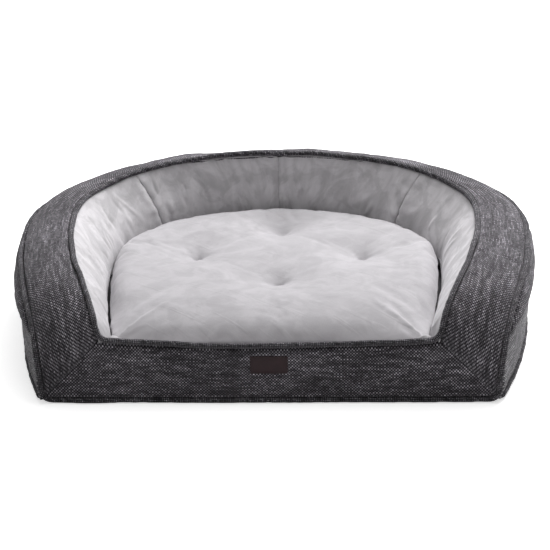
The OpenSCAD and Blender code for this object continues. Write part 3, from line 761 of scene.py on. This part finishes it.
def corner_pinches():
    """The pinched ends of the lining at the two front corners of the well."""
    for side, name in ((-1, "left"), (1, "right")):
        t = np.linspace(0, 1, 26)
        path = np.stack([side * (281 - 25 * t), -329 - 3 * np.sin(t * 3.1), 107 + 1.5 * np.sin(t * 6.0)], -1)
        p, bias = tube(path, 1.0, False, 18)
        body = path[:, None]
        size = 5.6 * np.sin(np.pi * np.clip(t, 0.02, 0.98)) ** 0.5
        a = np.linspace(0, 2 * np.pi, 18, endpoint=False)
        p = body + (p - body) * (size[:, None] * (1 + 0.16 * np.sin(3 * a[None] + 5 * t[:, None])))[..., None]
        p = np.concatenate([np.repeat(path[:1, None], 18, 1), p, np.repeat(path[-1:, None], 18, 1)])
        bias = np.concatenate([bias[:1], bias, bias[-1:]])
        piece = grid_mesh("corner_pinch_" + name, p, bias * 6, LINING_PLUSH, wrap=True)
        weld(piece)


# ---------------------------------------------------------------- cushion
TUFT_MIDDLE = np.array([8, 8])
TUFTS = TUFT_MIDDLE + np.array([[-155, 0], [155, 0], [0, 118], [0, -118]])
CUSHION_MIDDLE = np.array([0, -52.0])


def cushion_edge(step):
    edge = d_point(even_stations(lambda v: d_point(v, CUSHION_D), step)[0], CUSHION_D)[:, :2]
    n = int(np.linalg.norm(edge[-1] - edge[0]) / step)
    line = edge[-1] + (edge[0] - edge[-1]) * np.linspace(0, 1, n + 1)[1:-1, None]
    return np.vstack([edge, line])


def rim_radius(xy, edge):
    """How far out points lie, 1 at the cushion's edge."""
    q, e = xy - CUSHION_MIDDLE, edge - CUSHION_MIDDLE
    angle = np.arctan2(e[:, 1], e[:, 0])
    order = np.argsort(angle)
    reach = np.interp(np.arctan2(q[:, 1], q[:, 0]), angle[order], np.hypot(*e[order].T), period=2 * np.pi)
    return np.hypot(q[:, 0], q[:, 1]) / reach


def simulate(piece, pinned, cap, frames=20, pressure=4.0, voxel=0.0058):
    """Puffs a closed cover up with Blender's cloth, held at some points, and returns where its points moved
    to, no step longer than cap.
    """
    scene = bpy.context.scene
    bpy.context.view_layer.objects.active = piece
    remesh = piece.modifiers.new("remesh", "REMESH")
    remesh.mode, remesh.voxel_size, remesh.use_smooth_shade = "VOXEL", voxel, True
    bpy.ops.object.modifier_apply(modifier="remesh")
    mesh = piece.data
    start = np.zeros(len(mesh.vertices) * 3)
    mesh.vertices.foreach_get("co", start)
    start = start.reshape(-1, 3)
    group = piece.vertex_groups.new(name="held")
    group.add([int(v) for v in np.where(pinned(start * 1000))[0]], 1.0, "REPLACE")
    cloth = piece.modifiers.new("cloth", "CLOTH")
    c = cloth.settings
    c.quality, c.mass = 6, 0.3
    c.tension_stiffness, c.compression_stiffness, c.shear_stiffness, c.bending_stiffness = 18, 18, 6, 0.6
    c.use_pressure, c.uniform_pressure_force = True, pressure
    c.effector_weights.gravity = 0
    c.vertex_group_mass = "held"
    cloth.point_cache.frame_start, cloth.point_cache.frame_end = 1, frames
    for f in range(1, frames + 1):
        scene.frame_set(f)
    posed = piece.evaluated_get(bpy.context.evaluated_depsgraph_get()).data
    moved = np.zeros(len(posed.vertices) * 3)
    posed.vertices.foreach_get("co", moved)
    moved = moved.reshape(-1, 3)
    piece.modifiers.remove(cloth)
    scene.frame_set(1)
    step = moved - start
    far = np.linalg.norm(step, axis=1, keepdims=True)
    return start + step * np.minimum(1, cap / 1000 / np.maximum(far, 1e-9))


def cushion():
    edge = cushion_edge(9)
    r = np.concatenate([np.linspace(0.02, 0.8, 40), 0.8 + 0.2 * np.linspace(0, 1, 20)[1:] ** 0.8])
    square = 7 + 11 * smooth(edge[:, 1], -250, -60)[None]
    rim = np.clip(1 - r[:, None] ** square, 0, 1) ** (0.5 + 0.05 * smooth(edge[:, 1], -250, -60)[None])
    shrink = 0.985
    xy = CUSHION_MIDDLE + (edge - CUSHION_MIDDLE)[None] * (r * shrink)[:, None, None]
    top = SEAM_Z + (SEAT_TOP - 1 - SEAM_Z) * rim
    near = np.min([np.hypot(xy[..., 0] - t[0], xy[..., 1] - t[1]) for t in TUFTS], axis=0)
    top = top - 24 * np.exp(-(near / 25) ** 1.2) * np.minimum(1, rim * 2)
    low = DECK_Z + 3.5
    turn_up = (np.clip(r - 0.9, 0, 1) / 0.1) ** 1.6
    under = (low + (SEAM_Z - low) * turn_up)[:, None] + 0 * xy[..., 0]
    up = np.concatenate([xy, top[..., None]], -1)
    down = np.concatenate([xy, under[..., None]], -1)[::-1][1:]
    rows = capped(np.concatenate([up, down]))
    piece = grid_mesh("seat_cushion_cover", rows, rows[..., :2], SEAT_PLUSH, body=None, wrap=True, flip=True)
    weld(piece)
    bpy.context.view_layer.objects.active = piece
    bpy.ops.object.modifier_apply(modifier="closed")
    def held(p):
        d = np.min([np.hypot(p[:, 0] - t[0], p[:, 1] - t[1]) for t in TUFTS], axis=0)
        on_seam = (np.abs(p[:, 2] - SEAM_Z) < 4) & (rim_radius(p[:, :2], edge) > 0.96)
        return (d < 5) | (p[:, 2] < DECK_Z + 5) | on_seam
    co = simulate(piece, held, 10) * 1000
    finish_cushion(piece, co, edge)


def finish_cushion(piece, co, edge):
    x, y, z = co.T
    upper = smooth(z, SEAM_Z + 6, SEAM_Z + 22)
    radius = rim_radius(co[:, :2], edge)
    near = np.min([np.hypot(x - t[0], y - t[1]) for t in TUFTS], axis=0)
    # each tuft is a narrow pinch, with short pulls round it
    rays = np.zeros_like(z)
    for k, t in enumerate(TUFTS):
        angle, far = np.arctan2(y - t[1], x - t[0]), np.hypot(x - t[0], y - t[1])
        rays += 1.5 * noise(angle * 9 / np.pi + 9, far * 0 + k, 91) * np.exp(-((far - 16) / 14) ** 2)
        slit = np.exp(-((x - t[0]) / 8) ** 2 - ((y - t[1] - 1) / 2.6) ** 2)
        rays -= 6.0 * slit
    front = smooth(-y, 90, 260)
    flow = noise((x * 0.8 + y * 0.6) / 90, (x - y) / 160, 95) * 14
    along, across = x * 0.82 - y * 0.57 + flow, x * 0.57 + y * 0.82 + flow
    creases = wrinkles(across, along, (-330, 150, -300, 300), 26, 97, 0.25, (40, 130), (3.5, 8), 1.4)
    creases = creases * (0.25 + 0.75 * front)
    soft = 1.6 * cloudy(x / 95, y / 75, 93) + 0.6 * noise(x / 23, y / 40, 94)
    middle = -0.8 * np.exp(-((x - 14 - 0.03 * y) / 1.2) ** 2) * smooth(-y, 150, 190)
    soft = soft + 9 * smooth(radius, 0.72, 0.92) * smooth(y, -260, -120)
    z = z + upper * (soft + creases * smooth(near, 10, 40) + middle) + smooth(z, SEAM_Z, SEAM_Z + 10) * rays
    edge_soft = 1.6 * noise(np.arctan2(y, x) * 12, z / 30, 99) * smooth(radius, 0.9, 0.97)
    scale = np.minimum(1, 1.015 / np.maximum(radius, 1e-6))
    x = CUSHION_MIDDLE[0] + (x - CUSHION_MIDDLE[0]) * (scale + edge_soft / 300)
    y = CUSHION_MIDDLE[1] + (y - CUSHION_MIDDLE[1]) * (scale + edge_soft / 300)
    z = np.clip(z, DECK_Z + 1.4, SEAT_TOP + 7)
    out = np.stack([x, y, z], -1)
    piece.data.vertices.foreach_set("co", (out / 1000).ravel())
    mesh = piece.data
    if "weave" in mesh.attributes:
        mesh.attributes.remove(mesh.attributes["weave"])
    flat = np.zeros((len(out), 3), np.float32)
    flat[:, :2] = out[:, :2] / 1000
    mesh.attributes.new("weave", "FLOAT_VECTOR", "POINT").data.foreach_set("vector", flat.ravel())
    if not mesh.materials:
        mesh.materials.append(SEAT_PLUSH)
    mesh.materials.append(BACKING)
    centre, normal = np.zeros(len(mesh.polygons) * 3), np.zeros(len(mesh.polygons) * 3)
    mesh.polygons.foreach_get("center", centre)
    mesh.polygons.foreach_get("normal", normal)
    below = centre.reshape(-1, 3)[:, 2] * 1000 < SEAM_Z - 3
    mesh.polygons.foreach_set("material_index", below.astype(np.int32))
    mesh.polygons.foreach_set("use_smooth", np.ones(len(mesh.polygons), bool))
    mesh.update()
    sub = piece.modifiers.new("smooth", "SUBSURF")
    sub.levels = sub.render_levels = 1
    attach(piece, CUSHION)
    pad(piece, ("cushion_top", "cushion_underside", "cushion_fill"))
    outline = CUSHION_MIDDLE + (edge - CUSHION_MIDDLE) * 1.004
    rim = resample(np.column_stack([outline, np.full(len(edge), SEAM_Z - 1)]), 4)
    seam = tube_piece("cushion_edge_seam", rim, 1.6, SEAT_PLUSH, body=CUSHION, sides=8)
    ties = []
    for t in TUFTS:
        q = np.linspace(-1, 1, 7)
        ties.append(np.stack([t[0] + 4.5 * q, t[1] + 0 * q + 0.6, SEAT_TOP - 24.5 + 1.2 * (1 - q ** 2)], -1))
    tie = tubes_piece("tuft_stitches", ties, 0.8, GREY_THREAD, body=CUSHION)
    pad(tie, ("tuft_ties",))
    buttons()


def buttons():
    """Flat domed buttons under the cushion, where the tufts are tied off."""
    dome = ((0, 62.6), (3.0, 62.45), (6.2, 62.45), (7.6, 62.9),
            (8.0, 63.5), (7.6, 64.2), (6.0, 64.5), (0, 64.5))
    sides = 32
    a = np.linspace(0, 2 * np.pi, sides, endpoint=False)
    points, faces = [], []
    for t in TUFTS:
        base = len(points)
        for r, z in dome:
            for k in a:
                points.append((t[0] + max(r, 0.01) * math.cos(k), t[1] + max(r, 0.01) * math.sin(k), z))
        faces.extend(ring_faces(base, len(dome), sides))
    points = np.array(points)
    piece = mesh_piece("tuft_back_buttons", points, faces, points[:, :2], BUTTON, CUSHION)
    weld(piece, 5e-5)
    pad(piece, ("tuft_buttons",))


# ---------------------------------------------------------------- label
LABEL_W, LABEL_H, LABEL_UP = 66.0, 33.0, 67.0


def on_front(x, up, out):
    """A place on the front panel: across, up the panel from its foot, and out of it, in millimetres."""
    rise_way = unit(np.array([0, (FRONT_HIGH - FRONT_LOW)[1], (FRONT_HIGH - FRONT_LOW)[2]]))
    x, up, out = np.broadcast_arrays(np.asarray(x, float), up, out)
    foot = np.array([0, FRONT_LOW[1], FRONT_LOW[2]])
    return foot + x[..., None] * [1, 0, 0] + up[..., None] * rise_way + out[..., None] * FRONT_OUT


def label():
    nx, ny = 133, 67
    x, y = np.linspace(-1, 1, nx) * LABEL_W / 2, np.linspace(-1, 1, ny) * LABEL_H / 2
    x, y = np.meshgrid(x, y, indexing="ij")
    side = np.minimum(LABEL_W / 2 - np.abs(x), LABEL_H / 2 - np.abs(y))
    thick = 5.3 - 1.6 * (1 - smooth(side, -0.2, 1.4)) + 0.12 * noise(x / 9, y / 9, 201)
    thick = thick - 0.35 * np.exp(-((side - 6.2) / 0.5) ** 2) - 0.3 * np.exp(-((side - 3) / 0.7) ** 2)
    thick[0], thick[-1], thick[:, 0], thick[:, -1] = 1.2, 1.2, 1.2, 1.2
    corner = np.hypot(np.maximum(np.abs(x) - LABEL_W / 2 + 2, 0), np.maximum(np.abs(y) - LABEL_H / 2 + 2, 0))
    pull = np.where(corner > 2, 2 / np.maximum(corner, 1e-6), 1)
    x = np.where(corner > 2, np.sign(x) * (LABEL_W / 2 - 2 + (np.abs(x) - LABEL_W / 2 + 2) * pull), x)
    y = np.where(corner > 2, np.sign(y) * (LABEL_H / 2 - 2 + (np.abs(y) - LABEL_H / 2 + 2) * pull), y)
    p = on_front(x, LABEL_UP + y, thick)
    piece = grid_mesh("leather_label", p, np.stack([x, y], -1), LEATHER)
    pad(piece, ("label",))
    lines = []
    q = np.linspace(-1, 1, 5)
    pitch, inset, out = 2.1, 3, 5.1 + 0.25 * (1 - q ** 2)
    for k in (-1, 1):
        for i in range(-14, 15):
            lines.append(on_front(i * pitch + 0.75 * q, LABEL_UP + k * (LABEL_H / 2 - inset) + 0 * q, out))
        for i in range(-6, 7):
            lines.append(on_front(k * (LABEL_W / 2 - inset) + 0 * q, LABEL_UP + i * pitch + 0.75 * q, out))
    piece = tubes_piece("label_border_stitches", lines, 0.32, THREAD)
    pad(piece, ("label_stitching",))


# ---------------------------------------------------------------- zip, base and deck
ZIP_Y, ZIP_R, ZIP_ANGLE, COIL_AT = -608.907, 968.236, 11.0152, 965.836


def on_zip(angle, radius, z):
    a = np.radians(90 - np.asarray(angle))
    return np.stack(np.broadcast_arrays(radius * np.cos(a), ZIP_Y + radius * np.sin(a), z), -1)


def zip_pieces():
    for name, way in (("upper", 1), ("lower", -1)):
        angle = np.linspace(-ZIP_ANGLE, ZIP_ANGLE, 190)
        z = np.linspace(1, 13, 9)
        p = on_zip(angle[:, None], COIL_AT - 1.8 + 0 * z[None], ZIP_Z + way * z[None])
        s = np.radians(angle)[:, None] * ZIP_R + 0 * z[None]
        tape = grid_mesh("zip_tape_cloth_" + name, p, on_cloth(s, z[None]), TAPE, flip=way < 0, thick=0.7)
        pad(tape, ("zip_tape_" + name,))
        turns = 212
        q = np.linspace(0, turns, turns * 9)
        turn = 2 * np.pi * q + (np.pi if way < 0 else 0)
        centre = np.interp(q, [0, turns], [-ZIP_ANGLE + 1, ZIP_ANGLE - 1])
        path = on_zip(centre, COIL_AT + 0.95 * np.cos(turn), ZIP_Z + way * (1.45 - 1.25 * np.sin(turn)))
        coil = tube_piece("zip_teeth_" + name, path, 0.36, COIL, loop=False, sides=5, ruche=0)
        pad(coil, ("zip_coil_" + name,))
    edges = []
    for way in (-1, 1):
        for k in range(-46, 47):
            q = np.linspace(-1, 1, 4)
            x = (k + 0.5) * 4.0 + 1.3 * q
            a = np.degrees(np.arcsin(x / ZIP_R))
            edges.append(on_zip(a, ZIP_R + 0.9 + 0.3 * (1 - q ** 2), ZIP_Z + way * (ZIP_SLIT + 3.2) + 0 * q))
    piece = tubes_piece("zip_top_stitching", edges, 0.4, GREY_THREAD, sides=5)
    for way, name in ((1, "upper"), (-1, "lower")):
        a = np.linspace(-ZIP_ANGLE, ZIP_ANGLE, 120)
        path = on_zip(a, ZIP_R - 0.9, ZIP_Z + way * (ZIP_SLIT - 0.2))
        lip = tube_piece("zip_lip_" + name, path, 1.1, PALE_AND_LIT_TWEED, loop=False, sides=8)
    for node in ("zip_stops", "zip_slider", "zip_pull"):
        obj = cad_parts[node]
        obj.data.materials.clear()
        obj.data.materials.append(METAL)
        bevel = obj.modifiers.new("soft_edges", "BEVEL")
        bevel.width, bevel.segments, bevel.limit_method = 0.0003, 2, "ANGLE"


def plan_rows(d, rows):
    """A filled D outline as a grid, from the front edge to the back."""
    edge = d_point(np.linspace(0, 1, 2001), d)[:, :2]
    y = np.linspace(d[3], d[1] - 0.5, rows)
    x = np.interp(y, edge[::-1, 1], edge[::-1, 0])
    return x, y


def base_and_deck():
    bottom = (HALF_W - 22, HALF_D - 18, HALF_W - 88, -HALF_D + 13)
    for name, d, z, material, slot, nodes, lumpy in (
            ("non_slip_bottom", bottom, 1.7, GRIP, "non_slip_base", ("bottom_panel", "base_foam"), 0.15),
            ("seat_deck_cloth", LINING_FOOT_D, DECK_Z - 0.6, BACKING, "backing_cloth", ("deck_panel",), 0.8)):
        x, y = plan_rows(d, 130)
        across = np.linspace(-1, 1, 160)
        wide = x[:, None] * across[None]
        p = np.stack([wide, y[:, None] + 0 * wide, z + 0 * wide], -1)
        p[..., 2] -= lumpy * (0.5 + 0.5 * cloudy(p[..., 0] / 60, p[..., 1] / 60, 301))
        piece = grid_mesh(name, p, p[..., :2], material)
        pad(piece, nodes)
    points, faces = [], []
    x, y = plan_rows(bottom, 400)
    a = np.linspace(0, 2 * np.pi, 8, endpoint=False)
    row = 0
    for cy in np.arange(-HALF_D + 40, HALF_D - 40, 14.0):
        row += 1
        reach = np.interp(cy, y, x) - 22
        for cx in np.arange(-reach + (row % 2) * 8, reach, 16.0):
            base = len(points)
            for r, z in ((2.6, 1.5), (2.1, 0.6), (0.9, 0.25)):
                points.extend([(cx + r * math.cos(k), cy + r * math.sin(k), z) for k in a])
            faces.extend(ring_faces(base, 3, 8))
            faces.append([base + 16 + j for j in range(8)])
    points = np.array(points)
    piece = mesh_piece("non_slip_dots", points, faces, points[:, :2], DOTS)


top_cover()
front_cover()
pipings()
walls()
linings()
corner_pinches()
cushion()
label()
zip_pieces()
base_and_deck()

# ---------------------------------------------------------------- floor, light and camera
floor_mesh = bpy.data.meshes.new("floor")
floor_mesh.from_pydata([(-30, -30, 0), (30, -30, 0), (30, 30, 0), (-30, 30, 0)], [], [(0, 1, 2, 3)])
floor = bpy.data.objects.new("floor", floor_mesh)
bpy.context.scene.collection.objects.link(floor)
floor.location.z = -0.0005
k = Maker("floor_white")
k.finish((0.9, 0.9, 0.9), 0.9, Emission_Color=(1, 1, 1))
seen = k.nodes.new("ShaderNodeLightPath").outputs["Is Camera Ray"]
k.put(k.times(seen, 0.62), k.shader.inputs["Emission Strength"])
floor_mesh.materials.append(k.material)

world = bpy.data.worlds.new("studio")
bpy.context.scene.world = world
world.use_nodes = True
world.node_tree.nodes["Background"].inputs[0].default_value = (1, 1, 1, 1)
world.node_tree.nodes["Background"].inputs[1].default_value = 0.2


def area_light(name, place, aim, size, power):
    data = bpy.data.lights.new(name, "AREA")
    data.shape = "RECTANGLE"
    data.size, data.size_y = size
    data.energy = power
    light = bpy.data.objects.new(name, data)
    bpy.context.scene.collection.objects.link(light)
    light.location = place
    light.rotation_mode = "QUATERNION"
    light.rotation_quaternion = (Vector(aim) - Vector(place)).to_track_quat("-Z", "Y")
    return light


area_light("back_right_softbox", (0.85, 1.5, 2.0), (0, 0, 0.05), (1.5, 1.5), 95)
area_light("overhead", (0.0, 0.3, 2.6), (0, 0, 0), (2.2, 2.0), 38)

camera_data = bpy.data.cameras.new("camera")
camera = bpy.data.objects.new("camera", camera_data)
bpy.context.scene.collection.objects.link(camera)
bpy.context.scene.camera = camera
azimuth, elevation, roll, reach = math.radians(2.36), math.radians(25), math.radians(1.2), 4.0
level = math.cos(elevation)
back = Vector((math.sin(azimuth) * level, -math.cos(azimuth) * level, math.sin(elevation)))
camera.location = back * reach
camera.rotation_mode = "QUATERNION"
camera.rotation_quaternion = (-back).to_track_quat("-Z", "Y") @ Quaternion((0, 0, 1), -roll)
camera_data.sensor_width = 36
camera_data.lens = 138
camera_data.shift_x = -0.0028
camera_data.shift_y = 0.0709
camera_data.clip_end = 100

scene = bpy.context.scene
scene.view_settings.view_transform = "Standard"
